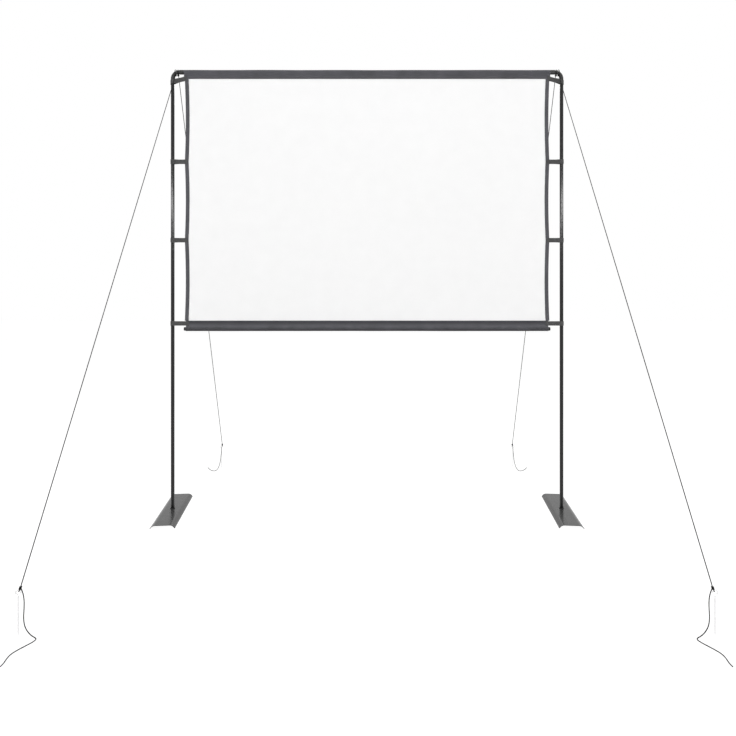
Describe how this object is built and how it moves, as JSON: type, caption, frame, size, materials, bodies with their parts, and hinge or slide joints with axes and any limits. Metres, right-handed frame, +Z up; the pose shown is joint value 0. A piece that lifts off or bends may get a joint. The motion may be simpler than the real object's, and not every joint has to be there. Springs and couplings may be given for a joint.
{
  "type": "portable projection screen",
  "caption": "Portable projection screen: a fabric panel strapped into a knock-down tube frame on flat feet, steadied by guy lines and wire pegs.",
  "frame": {"origin": "on the ground, halfway between the two poles", "axes": "+Z up, +X along the screen to the viewer's right, the viewer on the -Y side"},
  "size_m": [2.213, 2.2626, 2.2092],
  "materials": {
    "black_tube": "semi-gloss black paint",
    "black_plastic": "moulded, matt",
    "foot_plate": "grey, semi-gloss",
    "bare_steel": "zinc plated",
    "white_screen": "matt white",
    "dark_border": "woven, dark grey",
    "strap_webbing": "woven webbing",
    "rope": "braided cord",
    "peg_steel": "bright zinc"
  },
  "bodies": {
    "frame": {"bottom_sleeve": "dark_border", "left_corner_elbow": "black_plastic", "left_front_guy_line": "rope", "left_front_guy_tail": "rope", "left_front_peg": "peg_steel", "left_pole_section_1": "black_tube", "left_pole_section_2": "black_tube", "left_pole_section_3": "black_tube", "left_rear_guy_line": "rope", "left_rear_guy_tail": "rope", "left_rear_peg": "peg_steel", "left_side_hem": "dark_border", "left_strap_1": "strap_webbing", "left_strap_2": "strap_webbing", "left_strap_3": "strap_webbing", "left_strap_4": "strap_webbing", "right_corner_elbow": "black_plastic", "right_front_guy_line": "rope", "right_front_guy_tail": "rope", "right_front_peg": "peg_steel", "right_pole_section_1": "black_tube", "right_pole_section_2": "black_tube", "right_pole_section_3": "black_tube", "right_rear_guy_line": "rope", "right_rear_guy_tail": "rope", "right_rear_peg": "peg_steel", "right_side_hem": "dark_border", "right_strap_1": "strap_webbing", "right_strap_2": "strap_webbing", "right_strap_3": "strap_webbing", "right_strap_4": "strap_webbing", "screen_panel": "white_screen", "top_bar_section_1": "black_tube", "top_bar_section_2": "black_tube", "top_bar_section_3": "black_tube", "top_sleeve": "dark_border"},
    "left_foot": {"left_foot_bolt": "bare_steel", "left_foot_plate": "foot_plate", "left_foot_spigot": "bare_steel"},
    "right_foot": {"right_foot_bolt": "bare_steel", "right_foot_plate": "foot_plate", "right_foot_spigot": "bare_steel"},
    "bottom_bar": {"bottom_bar_section_1": "black_tube", "bottom_bar_section_2": "black_tube", "bottom_bar_section_3": "black_tube", "left_bottom_bar_cap": "black_plastic", "right_bottom_bar_cap": "black_plastic"}
  },
  "joints": [
    {"name": "bottom_bar_slide", "type": "slide", "parent": "frame", "child": "bottom_bar", "axis": [1, 0, 0], "range_m": [-0.045, 0.045]},
    {"name": "left_foot_swivel", "type": "hinge", "parent": "frame", "child": "left_foot", "pos_m": [-0.972, 0, 0.019], "axis": [0, 0, 1], "continuous": true},
    {"name": "right_foot_swivel", "type": "hinge", "parent": "frame", "child": "right_foot", "pos_m": [0.972, 0, 0.019], "axis": [0, 0, 1], "continuous": true}
  ]
}
